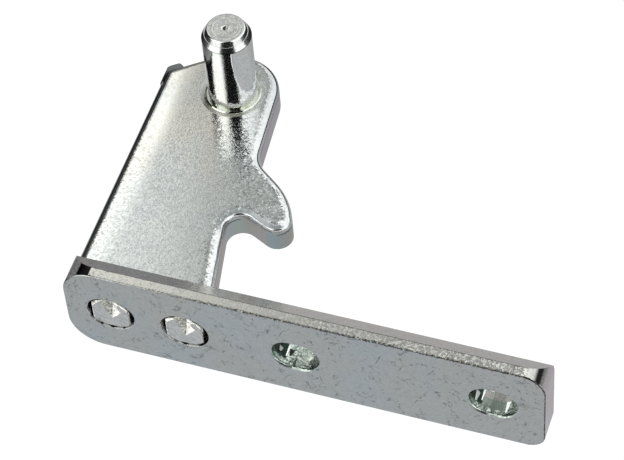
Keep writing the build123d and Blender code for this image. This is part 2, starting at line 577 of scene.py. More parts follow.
@dataclass
class Studio:
    """White floor, light tent and the camera at the photograph's angle."""

    eye_mm: Point = (193.835, -430.723, 540.573)
    right: Heading = (0.949007, 0.31031, -0.055624)
    down: Heading = (0.212146, -0.75911, -0.615423)
    ahead: Heading = (-0.233197, 0.572241, -0.786231)
    focal_px: float = 2814.29
    centre_off_px: float = 0.5
    sensor_mm: float = 36.0
    clip_m: Ramp = (0.01, 50.0)
    floor_z_mm: float = -17.9
    floor_half_m: float = 6.0
    floor_seen: float = 1.05
    floor_front: Colour = (0.56, 0.585, 0.60)
    floor_middle: Colour = (0.48, 0.485, 0.485)
    floor_rear: Colour = (0.39, 0.405, 0.40)
    floor_back: Colour = (0.015, 0.015, 0.015)
    floor_left: Colour = (0.012, 0.013, 0.013)
    floor_slope: Heading = (1.0, -0.15, 0.0)
    floor_slope_mm: Ramp = (-50.0, -18.0)
    floor_front_mm: Ramp = (-72.0, -58.0)
    floor_rear_mm: Ramp = (10.0, 30.0)
    floor_back_mm: Ramp = (45.0, 70.0)
    floor_back_x_mm: Ramp = (-15.0, 10.0)
    floor_corner_mm: Ramp = (-30.0, 0.0)
    floor_centre_mm: Point = (41.0, -30.0, 0.0)
    floor_far_mm: Ramp = (130.0, 260.0)
    floor_far_share: float = 0.72
    tent_dark: Colour = (0.006, 0.006, 0.006)
    panels: tuple[SkyPanel, ...] = (
        SkyPanel(160.0, 45.0, 30.0, 90.0, 16.0, (0.295, 0.314, 0.312)),
        SkyPanel(180.0, 13.0, -2.0, 32.0, 5.0, (0.23, 0.24, 0.245)),
        SkyPanel(-125.0, 35.0, -2.0, 3.0, 6.0, (0.09, 0.09, 0.09)),
        SkyPanel(-158.0, 18.0, 21.0, 40.0, 8.0, (0.24, 0.24, 0.23)),
        SkyPanel(-158.0, 16.0, 37.0, 45.0, 12.0, (1.0, 0.985, 0.91)),
        SkyPanel(150.0, 16.0, 4.0, 75.0, 4.0, (1.08, 1.08, 1.06)),
        SkyPanel(104.5, 29.5, 3.0, 82.0, 5.0, (1.22, 1.22, 1.20)),
        SkyPanel(54.0, 21.0, -2.0, 82.0, 6.0, (1.34, 1.35, 1.32)),
        SkyPanel(-60.0, 20.0, -2.0, 82.0, 14.0, (1.56, 1.57, 1.51)),
    )
    lamps: tuple[Softbox, ...] = (
        Softbox(
            name="left_bank",
            centre_mm=(-108.0, 75.0, 157.0),
            aim_mm=(-20.0, -25.0, 0.0),
            width_mm=80.0,
            height_mm=260.0,
            colour=(1.0, 1.0, 0.98),
            power=0.42,
        ),
    )

    def build(self) -> None:
        """Sets up the camera, the floor, the tent, the lamps and the colour handling."""
        self.place_camera()
        self.lay_floor()
        self.hang_tent()
        for lamp in self.lamps:
            self.stand_lamp(lamp)
        view = bpy.context.scene.view_settings
        view.view_transform = "Standard"
        view.look = "None"

    def place_camera(self) -> None:
        """Stands the camera where the photograph was taken."""
        data = bpy.data.cameras.new("photo_camera")
        data.sensor_fit = "HORIZONTAL"
        data.sensor_width = self.sensor_mm
        data.lens = self.focal_px / IMAGE_W * self.sensor_mm
        data.shift_x = -self.centre_off_px / IMAGE_W
        data.shift_y = self.centre_off_px / IMAGE_W
        data.clip_start, data.clip_end = self.clip_m
        camera = bpy.data.objects.new("photo_camera", data)
        turn = Matrix((self.right, [-v for v in self.down], [-v for v in self.ahead])).transposed()
        camera.matrix_world = Matrix.Translation(Vector(self.eye_mm) * MM) @ turn.to_4x4()
        bpy.context.scene.collection.objects.link(camera)
        bpy.context.scene.camera = camera

    def lay_floor(self) -> None:
        """Lays a plain pale floor that the hinge itself mirrors as a dimmer, uneven ground."""
        half = self.floor_half_m
        z = self.floor_z_mm * MM
        mesh = bpy.data.meshes.new("floor")
        corners = [(-half, -half, z), (half, -half, z), (half, half, z), (-half, half, z)]
        mesh.from_pydata(corners, [], [(0, 1, 2, 3)])
        floor = bpy.data.objects.new("floor", mesh)
        bpy.context.scene.collection.objects.link(floor)
        material = bpy.data.materials.new("white_floor")
        material.use_nodes = True
        graph = Graph(material.node_tree)
        pale = graph.add("Emission")
        graph.feed(pale.inputs["Color"], self.floor_tone(graph))
        white = graph.add("Emission")
        white.inputs["Color"].default_value = WHITE
        white.inputs["Strength"].default_value = self.floor_seen
        self.show_white(graph, pale, white, "OutputMaterial")
        mesh.materials.append(material)

    def floor_tone(self, graph: Graph) -> Socket:
        """Works out what the hinge mirrors of the floor: grey close by, the tent's foot further off.

        Args:
            graph: the floor's graph.

        Returns:
            The floor's tone.
        """
        place = graph.place_mm()
        x, y, _ = graph.parts(place)
        tone = graph.mix(graph.step(y, *self.floor_front_mm), self.floor_front, self.floor_middle)
        tone = graph.mix(graph.step(y, *self.floor_rear_mm), tone, self.floor_rear)
        back = graph.times(graph.step(y, *self.floor_back_mm), graph.step(x, *self.floor_back_x_mm))
        tone = graph.mix(back, tone, self.floor_back)
        left = graph.fall(graph.vector("DOT_PRODUCT", place, self.floor_slope), *self.floor_slope_mm)
        corner = graph.fall(graph.plus(x, y), *self.floor_corner_mm)
        tone = graph.mix(graph.times(left, corner), tone, self.floor_left)
        out = graph.vector("MULTIPLY", graph.vector("SUBTRACT", place, self.floor_centre_mm), LEVEL)
        far: Value = self.tent_dark
        for panel in self.panels:
            if panel.low_deg <= 0.0:
                share = self.bearing_share(graph, panel, graph.vector("NORMALIZE", out))
                far = graph.mix(share, far, tuple(self.floor_far_share * part for part in panel.colour))
        return graph.mix(graph.step(graph.vector("LENGTH", out), *self.floor_far_mm), tone, far)

    def hang_tent(self) -> None:
        """Hangs the panels of the tent, which the camera itself sees as white."""
        world = bpy.data.worlds.new("light_tent")
        world.use_nodes = True
        graph = Graph(world.node_tree)
        heading = graph.vector("NORMALIZE", graph.add("TexCoord").outputs["Generated"])
        _, _, height = graph.parts(heading)
        level = graph.vector("NORMALIZE", graph.vector("MULTIPLY", heading, LEVEL))
        light: Value = self.tent_dark
        for panel in self.panels:
            light = graph.mix(self.panel_share(graph, panel, level, height), light, panel.colour)
        sky = graph.add("Background")
        graph.feed(sky.inputs["Color"], light)
        white = graph.add("Background")
        white.inputs["Color"].default_value = WHITE
        self.show_white(graph, sky, white, "OutputWorld")
        bpy.context.scene.world = world

    def panel_share(self, graph: Graph, panel: SkyPanel, level: Socket, height: Socket) -> Socket:
        """Works out where in the sky a panel hangs.

        Args:
            graph: the world's graph.
            panel: the panel.
            level: level direction that is looked in.
            height: sine of the height that is looked at.

        Returns:
            1 inside the panel and 0 outside it.
        """
        across = self.bearing_share(graph, panel, level)
        foot = math.sin(math.radians(panel.low_deg - panel.soft_deg))
        share = graph.times(across, graph.step(height, foot, math.sin(math.radians(panel.low_deg))))
        if panel.high_deg + panel.soft_deg < 90.0:
            top = math.sin(math.radians(panel.high_deg))
            head = math.sin(math.radians(panel.high_deg + panel.soft_deg))
            share = graph.times(share, graph.fall(height, top, head))
        return share

    def bearing_share(self, graph: Graph, panel: SkyPanel, level: Socket) -> Socket:
        """Works out on which bearings a panel stands.

        Args:
            graph: the tree's graph.
            panel: the panel.
            level: level direction that is looked in.

        Returns:
            1 on the panel's bearings and 0 elsewhere.
        """
        toward = -Vector((self.ahead[0], self.ahead[1], 0.0)).normalized()
        toward.rotate(Matrix.Rotation(math.radians(panel.bearing_deg), 3, "Z"))
        edge = math.cos(math.radians(min(180.0, panel.half_width_deg + panel.soft_deg)))
        core = math.cos(math.radians(panel.half_width_deg))
        return graph.step(graph.vector("DOT_PRODUCT", level, tuple(toward)), edge, core)

    def stand_lamp(self, lamp: Softbox) -> None:
        """Stands one lamp, which only shows in reflections.

        Args:
            lamp: the lamp.
        """
        data = bpy.data.lights.new(lamp.name, "AREA")
        data.shape = "RECTANGLE"
        data.size = lamp.width_mm * MM
        data.size_y = lamp.height_mm * MM
        data.color = lamp.colour
        data.energy = lamp.power * math.pi * data.size * data.size_y
        stand = bpy.data.objects.new(lamp.name, data)
        centre = Vector(lamp.centre_mm)
        aim = (Vector(lamp.aim_mm) - centre).to_track_quat("-Z", "Y")
        stand.matrix_world = Matrix.Translation(centre * MM) @ aim.to_matrix().to_4x4()
        stand.visible_camera = False
        bpy.context.scene.collection.objects.link(stand)

    def show_white(self, graph: Graph, lit: bpy.types.Node, white: bpy.types.Node, out_kind: str) -> None:
        """Shows the camera plain white, and everything else what lights the hinge.

        Args:
            graph: the tree's graph.
            lit: shader that lights the hinge.
            white: shader that the camera sees.
            out_kind: kind of the tree's output node.
        """
        chosen = graph.add("MixShader")
        graph.feed(chosen.inputs[0], graph.add("LightPath").outputs["Is Camera Ray"])
        graph.feed(chosen.inputs[1], lit.outputs[0])
        graph.feed(chosen.inputs[2], white.outputs[0])
        graph.feed(graph.add(out_kind).inputs["Surface"], chosen.outputs[0])


@dataclass(frozen=True)
class Metal:
    """Bare shader of a plated metal."""

    name: str

    def start(self) -> tuple[bpy.types.Material, Graph]:
        """Starts the material.

        Returns:
            The material and its graph.
        """
        material = bpy.data.materials.new(self.name)
        material.use_nodes = True
        return material, Graph(material.node_tree)

    def close(
        self, graph: Graph, colour: Socket, roughness: Value, normal: Socket, metallic: Value = 1.0
    ) -> None:
        """Joins colour, roughness, normal and metallic share into the metal's shader.

        Args:
            graph: the material's graph.
            colour: base colour.
            roughness: roughness.
            normal: surface normal.
            metallic: share of bare metal, less where it is torn and dull.
        """
        metal = graph.add("BsdfPrincipled")
        graph.feed(metal.inputs["Metallic"], metallic)
        graph.feed(metal.inputs["Base Color"], colour)
        graph.feed(metal.inputs["Roughness"], roughness)
        graph.feed(metal.inputs["Normal"], normal)
        graph.feed(graph.add("OutputMaterial").inputs["Surface"], metal.outputs[0])

    def relief(self, graph: Graph, height: Socket, depth_mm: float, lean: Value) -> Socket:
        """Turns a height and a lean into a normal.

        Args:
            graph: the material's graph.
            height: height, 0 to 1.
            depth_mm: full depth of the relief.
            lean: how far the surface leans, as a vector.

        Returns:
            The normal.
        """
        bump = graph.add("Bump")
        bump.inputs["Distance"].default_value = depth_mm * MM
        graph.feed(bump.inputs["Height"], height)
        return graph.vector("NORMALIZE", graph.vector("ADD", bump.outputs[0], lean))


@dataclass(frozen=True)
class DieRoll:
    """Gentle fall of the plate towards one long sheared edge, which may end behind a given Y."""

    through_mm: Point
    outward: Heading
    reach_mm: float
    lean: float
    calm: float
    front_mm: Ramp = (200.0, 201.0)
    calm_ramp: Ramp = (0.0, 0.4)

    def bend(self, graph: Graph, at: Surface) -> tuple[Socket, Socket]:
        """Works out how far the plate leans towards the edge, and how much of its grain the roll leaves.

        Args:
            graph: the material's graph.
            at: the point that is shaded.

        Returns:
            The lean as a vector, and the share of the grain.
        """
        inside = graph.vector("SUBTRACT", self.through_mm, at.place)
        near = graph.fall(graph.vector("DOT_PRODUCT", inside, self.outward), 0.0, self.reach_mm)
        near = graph.times(near, graph.fall(at.y, *self.front_mm))
        lean = graph.scaled(self.outward, graph.times(near, near, self.lean))
        return lean, graph.step(near, *self.calm_ramp, 1.0, 1.0 - self.calm)


@dataclass(frozen=True)
class Strike:
    """Where the chisel marked the tenon heads, with painted light on one flank of the dent and painted
    shade on the other.
    """

    dented: Socket
    lit: Socket
    shaded: Socket
    chip: Socket
    marked: Socket


@dataclass(frozen=True)
class ArmPlating(Metal):
    """Bright grainy zinc of the hooked arm, with smoother sheared walls and chiselled tenon heads."""

    cool: Colour = (0.795, 0.835, 0.85)
    warm: Colour = (0.85, 0.83, 0.79)
    wall_pink: Colour = (0.56, 0.50, 0.49)
    wall_mauve: Colour = (0.56, 0.52, 0.56)
    walls: tuple[tuple[float, Colour], ...] = (
        (11.8, (0.55, 0.60, 0.64)),
        (14.0, (0.54, 0.62, 0.59)),
        (16.5, (0.55, 0.56, 0.54)),
        (20.0, (0.58, 0.545, 0.53)),
        (23.5, (0.46, 0.565, 0.615)),
        (27.3, (0.50, 0.51, 0.49)),
    )
    burr: Colour = (0.05, 0.045, 0.04)
    torn: Colour = (0.115, 0.12, 0.13)
    head: Colour = (0.70, 0.70, 0.685)
    # Painted shade and painted light for the two flanks of the chisel dent; the light colour also covers
    # the chip.
    dent_shade: Colour = (0.62, 0.61, 0.56)
    dent_light: Colour = (0.98, 0.97, 0.94)
    # Near black painted shade for the tenon sides deep in the flange's holes.
    gap_shade: Colour = (0.02, 0.018, 0.016)
    # Facings, as parts of the surface normal, at which each look begins and ends.
    flat_faces: Ramp = (0.80, 0.98)
    level_faces: Ramp = (0.90, 0.99)
    wall_faces: Ramp = (0.10, 0.35)
    burr_faces: Ramp = (0.2, 0.5)
    nub_faces: Ramp = (0.97, 0.99)
    dent_faces: Band = (-0.985, -0.96, -0.75, -0.6)
    lit_faces: Ramp = (-0.3, 0.1)
    chip_faces: Ramp = (-0.9, -0.7)
    side_faces: Ramp = (-0.6, -0.4)
    crisp_faces: Ramp = (-0.45, -0.15)
    shoulder_faces: Ramp = (0.02, 0.12)
    roll_faces: Ramp = (0.60, 0.72)
    # Grain and tone of the plate.
    grain_mm: float = 0.44
    grain_depth_mm: float = 0.03
    grain_lean: float = 0.145
    wall_lean: float = 0.02
    fleck_span: Ramp = (0.60, 1.15)
    mean_tone: float = 0.92
    steep_fleck: float = 0.3
    calm_r_mm: Ramp = (18.0, 31.0)
    calm_share: float = 0.42
    calm_fleck: float = 0.5
    plate_rough: Ramp = (0.10, 0.15)
    wall_rough: float = 0.32
    wash_mm: float = 26.0
    # The plate's colour is darkened towards the right and towards the rear: painted shade.
    right_x_mm: Ramp = (-6.0, 14.0)
    right_shade_tone: float = 0.90
    cold_y_mm: Ramp = (-48.0, -24.0)
    cold_share: float = 0.2
    upper_y_mm: Ramp = (-16.0, 2.0)
    upper_shade_tone: float = 0.86
    # Edges, notch, coined ring and nub of the plate.
    edge_roll_mm: float = 2.4
    burr_mm: float = 0.30
    leg_y_mm: Ramp = (-43.0, -40.5)
    waist_y_mm: Ramp = (-30.0, -24.0)
    crisp_share: float = 0.9
    crisp_y_mm: Ramp = (-46.0, -42.0)
    shoulder_x_mm: Ramp = (13.5, 15.5)
    ring_rough_mm: Band = (7.2, 7.3, 8.45, 8.6)
    # Painted shade on the coined ring's left side.
    ring_shade_mm: Band = (7.2, 7.3, 8.3, 8.45)
    ring_shade_x_mm: Ramp = (-5.0, 2.0)
    ring_shade_tone: float = 0.85
    ring_rough: float = 0.35
    nub_z_mm: Ramp = (-0.85, -0.75)
    nub_y_mm: Ramp = (1.0, 4.0)
    nub_tones: Ramp = (0.1, 1.0)
    nose_r_mm: Ramp = (12.0, 12.5)
    die_rolls: tuple[DieRoll, ...] = (
        DieRoll((-19.35, 0.0, 0.0), (-1.0, 0.0, 0.0), 11.0, 0.23, 0.45),
        DieRoll((12.45, -43.8, 0.0), (0.981, 0.195, 0.0), 4.4, 0.12, 0.92, (-48.0, -42.0)),
    )
    # Tenon heads.
    tenon_soft_mm: float = 1.0
    tenon_mid_mm: float = 2.67
    tenon_off_mm: float = 9.5
    tenon_z_mm: float = -3.97
    tenon_flat_mm: float = 0.7
    head_lean: float = 0.12
    dent_lean: float = 0.40
    dent_lift: Heading = (0.35, 0.0, 0.65)
    dent_rough: float = 0.25
    dent_dull: float = 0.65
    lump_mm: float = 0.7
    lump_lean: float = 0.20
    lump_tones: Ramp = (0.86, 1.06)
    speck_ramp: Band = (0.2, 0.95, 0.62, 1.6)
    chip_crease_mm: Ramp = (0.45, 0.55)
    chip_width_mm: float = 2.5
    chip_z_mm: Ramp = (-5.6, 1.0)
    chip_peak: float = 0.45
    chip_soft_mm: float = 0.3
    chip_lean: Heading = (-0.2, 0.0, 0.9)
    rim_mm: Ramp = (3.95, 4.3)
    rim_up_mm: Ramp = (0.8, 1.6)
    rim_scale: float = 0.5
    rim_ramp: Ramp = (0.40, 0.50)
    rim_lean: Heading = (-0.28, 0.0, 0.66)
    dome_lean: float = 0.065
    gap_shade_mm: Ramp = (0.42, 0.7)

    def material(self, effects: Effects, front_mm: float, shoulder_mm: float) -> bpy.types.Material:
        """Builds the finish.

        Args:
            effects: the shared effects.
            front_mm: Y of the flange's front face, which the tenon heads fill.
            shoulder_mm: Y at which the tenons leave the plate.

        Returns:
            The material.
        """
        material, graph = self.start()
        at = graph.surface()
        plate = graph.step(at.y, shoulder_mm - self.tenon_soft_mm, shoulder_mm)
        tenon = graph.rest(plate)
        grain = effects.grain.use(graph, Place=at.place, Size=self.grain_mm)
        lump = effects.grain.use(graph, Place=at.place, Size=self.lump_mm)
        across = self.across_tenon(graph, at)
        strike = self.strike(graph, at, tenon, across)
        heads = self.head_colour(graph, strike, grain["Fleck"], lump["Fleck"])
        # Painted shade: tenon sides deep inside the flange's holes are darkened to near black.
        inward = graph.step(graph.minus(at.y, front_mm), *self.gap_shade_mm)
        heads = graph.mix(graph.times(inward, graph.step(at.face_y, *self.side_faces)), heads, self.gap_shade)
        colour = graph.mix(tenon, self.plate_colour(graph, effects, at, grain["Fleck"]), heads)
        lean, height = self.plate_grain(graph, at, plate, grain)
        dents = graph.times(strike.marked, self.dent_lean)
        for toward, share in (
            (grain["Lean"], graph.plus(graph.times(tenon, self.head_lean), dents)),
            (self.dent_lift, strike.lit),
            (self.chip_lean, strike.chip),
            (lump["Lean"], graph.times(tenon, self.lump_lean)),
            (self.dome(graph, at, across), tenon),
            (self.rim_lean, graph.times(tenon, self.rim(graph, at, across))),
        ):
            lean = graph.pushed(lean, toward, share)
        normal = self.relief(graph, height, self.grain_depth_mm, lean)
        roughness = self.roughness(graph, at, plate, strike)
        dull = graph.times(strike.shaded, self.dent_dull)
        self.close(graph, colour, roughness, normal, graph.rest(dull))
        return material

    def roughness(self, graph: Graph, at: Surface, plate: Socket, strike: Strike) -> Socket:
        """Works out the roughness: low on the plate, higher on walls, chisel marks and the coined ring.

        Args:
            graph: the material's graph.
            at: the point that is shaded.
            plate: 1 on the hooked plate.
            strike: where the chisel marked the heads.

        Returns:
            The roughness.
        """
        radius = graph.radius(at)
        wall = graph.times(graph.fall(at.face_z, *self.wall_faces), plate)
        roughness = graph.times(graph.rest(wall), graph.step(radius, *self.calm_r_mm, *self.plate_rough))
        for share, added in (
            (wall, self.wall_rough),
            (strike.marked, self.dent_rough),
            (graph.times(plate, graph.band(radius, *self.ring_rough_mm)), self.ring_rough),
        ):
            roughness = graph.plus(roughness, graph.times(share, added))
        return roughness

    def plate_grain(
        self, graph: Graph, at: Surface, plate: Socket, grain: dict[str, Socket]
    ) -> tuple[Socket, Socket]:
        """Works out how the plate's grain leans and rises, calmed and bent near the long edges.

        Args:
            graph: the material's graph.
            at: the point that is shaded.
            plate: 1 on the hooked plate.
            grain: the crystals' height, fleck and lean.

        Returns:
            The lean as a vector, and the height.
        """
        flat = graph.step(at.face_z, *self.flat_faces)
        lean = graph.scaled(grain["Lean"], graph.ease(flat, self.wall_lean, self.grain_lean))
        lean = graph.scaled(lean, graph.step(graph.radius(at), *self.calm_r_mm, self.calm_share, 1.0))
        height = graph.times(grain["Height"], flat)
        bends = [roll.bend(graph, at) for roll in self.die_rolls]
        for _, left in bends:
            lean = graph.scaled(lean, left)
            height = graph.times(height, left)
        for bend, _ in bends:
            lean = graph.pushed(lean, bend, plate)
        flattened = graph.times(plate, self.crisp(graph, at), -self.crisp_share)
        return graph.pushed(lean, graph.joined(at.face_x, at.face_y), flattened), height

    def plate_colour(self, graph: Graph, effects: Effects, at: Surface, fleck: Socket) -> Socket:
        """Works out the colour of the hooked plate, its walls, its burr and its torn nub, with painted
        shade towards the rear, towards the right and on the coined ring's left side.

        Args:
            graph: the material's graph.
            effects: the shared effects.
            at: the point that is shaded.
            fleck: light of each crystal.

        Returns:
            The colour.
        """
        drift = effects.wash.use(graph, Place=at.place, Size=self.wash_mm)["Drift"]
        right = graph.step(at.x, *self.right_x_mm)
        cold = graph.most(right, graph.fall(at.y, *self.cold_y_mm))
        colour = graph.mix(graph.times(drift, graph.ease(cold, 1.0, self.cold_share)), self.cool, self.warm)
        # Painted shade: darker towards the rear.
        colour = graph.scaled(colour, graph.step(at.y, *self.upper_y_mm, 1.0, self.upper_shade_tone))
        radius = graph.radius(at)
        level = graph.step(at.face_z, *self.level_faces)
        span = graph.times(
            graph.step(at.x, *self.right_x_mm, *self.fleck_span),
            graph.ease(level, self.steep_fleck, 1.0),
            graph.step(radius, *self.calm_r_mm, self.calm_fleck, 1.0),
        )
        light = graph.plus(self.mean_tone, graph.times(graph.minus(fleck, 0.5), span))
        colour = graph.scaled(colour, light)
        # Painted shade: darker towards the right.
        colour = graph.toned(colour, graph.times(level, right), self.right_shade_tone)
        colour = graph.mix(graph.fall(at.face_z, *self.wall_faces), colour, self.wall_colour(graph, at))
        below = graph.off(at.z, -self.edge_roll_mm)
        burr = effects.burr.use(graph, Place=at.place, Distance=below, Width=self.burr_mm)["Mask"]
        colour = graph.mix(graph.times(burr, graph.step(at.face_x, *self.burr_faces)), colour, self.burr)
        # Painted shade: the coined ring is darkened on its left side.
        ring = graph.band(radius, *self.ring_shade_mm)
        colour = graph.toned(colour, graph.times(ring, graph.fall(at.x, *self.ring_shade_x_mm)), self.ring_shade_tone)
        nub = graph.times(
            graph.fall(at.z, *self.nub_z_mm),
            graph.step(radius, *self.nose_r_mm),
            graph.step(at.face_z, *self.nub_faces),
        )
        torn = graph.scaled(self.torn, graph.step(at.y, *self.nub_y_mm, *self.nub_tones))
        return graph.mix(nub, colour, torn)

    def wall_colour(self, graph: Graph, at: Surface) -> Socket:
        """Works out the tint of the sheared walls, which changes along X, on the leg and at the waist.

        Args:
            graph: the material's graph.
            at: the point that is shaded.

        Returns:
            The colour.
        """
        start, side = self.walls[0]
        for stop, tint in self.walls[1:]:
            side = graph.mix(graph.step(at.x, start, stop), side, tint)
            start = stop
        side = graph.mix(graph.fall(at.y, *self.leg_y_mm), side, self.wall_pink)
        return graph.mix(graph.step(at.y, *self.waist_y_mm), side, self.wall_mauve)

    def head_colour(self, graph: Graph, strike: Strike, fleck: Socket, lump: Socket) -> Socket:
        """Works out the colour of the tenon heads: painted light on one flank of the chisel dent and on the
        chip beside it, and painted shade with darker specks on the other flank.

        Args:
            graph: the material's graph.
            strike: where the chisel marked the heads.
            fleck: light of each crystal.
            lump: light of each lump.

        Returns:
            The colour.
        """
        # Painted light and painted shade on the dent's flanks.
        heads = graph.mix(strike.dented, self.head, graph.mix(strike.lit, self.dent_shade, self.dent_light))
        heads = graph.mix(strike.chip, heads, self.dent_light)
        heads = graph.mix(strike.shaded, heads, graph.scaled(heads, graph.step(fleck, *self.speck_ramp)))
        return graph.scaled(heads, graph.ease(lump, *self.lump_tones))

    def across_tenon(self, graph: Graph, at: Surface) -> Socket:
        """Works out how far along X a point lies from the middle of its tenon.

        Args:
            graph: the material's graph.
            at: the point that is shaded.

        Returns:
            The distance in millimetres.
        """
        side = graph.minus(at.x, self.tenon_mid_mm)
        return graph.minus(side, graph.times(graph.math("SIGN", side), self.tenon_off_mm))

    def strike(self, graph: Graph, at: Surface, tenon: Socket, across: Socket) -> Strike:
        """Works out where the chisel dented each head and where it roughened it beside the dent, and which
        flank of the dent gets painted light and which gets painted shade.

        Args:
            graph: the material's graph.
            at: the point that is shaded.
            tenon: 1 on the tenons.
            across: distance from the middle of the tenon.

        Returns:
            The marks.
        """
        dented = graph.times(tenon, graph.band(at.face_y, *self.dent_faces))
        lit = graph.times(dented, graph.fall(at.face_x, *self.lit_faces))
        shaded = graph.times(dented, graph.rest(lit))
        foot, top = self.chip_z_mm
        rise = graph.math("DIVIDE", graph.minus(at.z, foot), self.chip_peak * (top - foot))
        sink = graph.math("DIVIDE", graph.minus(top, at.z), (1.0 - self.chip_peak) * (top - foot))
        width = graph.times(graph.math("MINIMUM", rise, sink), self.chip_width_mm)
        edge = graph.plus(width, self.chip_crease_mm[0])
        chip = graph.band(across, *self.chip_crease_mm, graph.minus(edge, self.chip_soft_mm), edge)
        chip = graph.times(tenon, chip, graph.fall(at.face_y, *self.chip_faces))
        return Strike(dented, lit, shaded, chip, graph.most(dented, chip))

    def crisp(self, graph: Graph, at: Surface) -> Socket:
        """Works out where the edge of the notch and of its shoulder is crisper than the roll elsewhere.

        Args:
            graph: the material's graph.
            at: the point that is shaded.

        Returns:
            1 on the crisp edge.
        """
        shoulder = graph.times(
            graph.fall(at.x, *self.shoulder_x_mm), graph.step(at.face_x, *self.shoulder_faces)
        )
        edge = graph.most(graph.fall(at.face_y, *self.crisp_faces), shoulder)
        edge = graph.times(edge, graph.step(at.face_z, *self.roll_faces))
        return graph.times(edge, graph.band(at.y, *self.crisp_y_mm, *self.waist_y_mm))

    def rim(self, graph: Graph, at: Surface, across: Socket) -> Socket:
        """Works out where the upper edge of each head is rolled over.

        Args:
            graph: the material's graph.
            at: the point that is shaded.
            across: distance from the middle of the tenon.

        Returns:
            1 on the rolled edge.
        """
        up = graph.minus(at.z, self.tenon_z_mm)
        out = graph.most(graph.minus(graph.math("ABSOLUTE", across), self.tenon_flat_mm), 0.0)
        edge = graph.step(graph.vector("LENGTH", graph.joined(out, up)), *self.rim_mm)
        broken = graph.step(graph.noise(at.place, self.rim_scale), *self.rim_ramp)
        return graph.times(edge, broken, graph.step(up, *self.rim_up_mm))

    def dome(self, graph: Graph, at: Surface, across: Socket) -> Socket:
        """Works out how the head of each tenon rounds off from its middle.

        Args:
            graph: the material's graph.
            at: the point that is shaded.
            across: distance from the middle of the tenon.

        Returns:
            The lean, as a vector.
        """
        up = graph.most(graph.minus(at.z, self.tenon_z_mm), 0.0)
        return graph.scaled(graph.joined(across, 0.0, up), self.dome_lean)


@dataclass(frozen=True)
class BarSpot:
    """Where on the flange a point lies, in millimetres from its sides and from the nearest screw slot."""

    from_left: Socket
    from_right: Socket
    depth: Socket
    under: Socket
    off_middle: Socket
    along_slot: Socket
    outer_slot: Socket
    slotted: Socket


@dataclass(frozen=True)
class Sliver:
    """Facet that the punch left on a screw slot's wall, along X from its middle and deep from the front;
    its tone is painted light, near white tones painting a highlight and near black ones painting shade.
    """

    along_mm: float
    half_mm: float
    depth_mm: Ramp
    outer: bool
    faces: Heading
    tone: float
    near_soft_mm: float = 0.4
    far_soft_mm: float = 0.3
    taper: Ramp = (0.45, 1.1)
    core: float = 0.65

    def share(self, graph: Graph, spot: BarSpot) -> Socket:
        """Works out where the facet lies.

        Args:
            graph: the material's graph.
            spot: where on the flange the shaded point lies.

        Returns:
            1 on the facet.
        """
        slot = spot.outer_slot if self.outer else graph.rest(spot.outer_slot)
        near, far = self.depth_mm
        within = graph.band(spot.depth, near, near + self.near_soft_mm, far - self.far_soft_mm, far)
        narrow, wide = (part * self.half_mm for part in self.taper)
        half = graph.step(spot.depth, near, far, narrow, wide)
        off = graph.off(spot.along_slot, self.along_mm)
        return graph.times(graph.fall(off, graph.times(half, self.core), half), within, slot, spot.slotted)


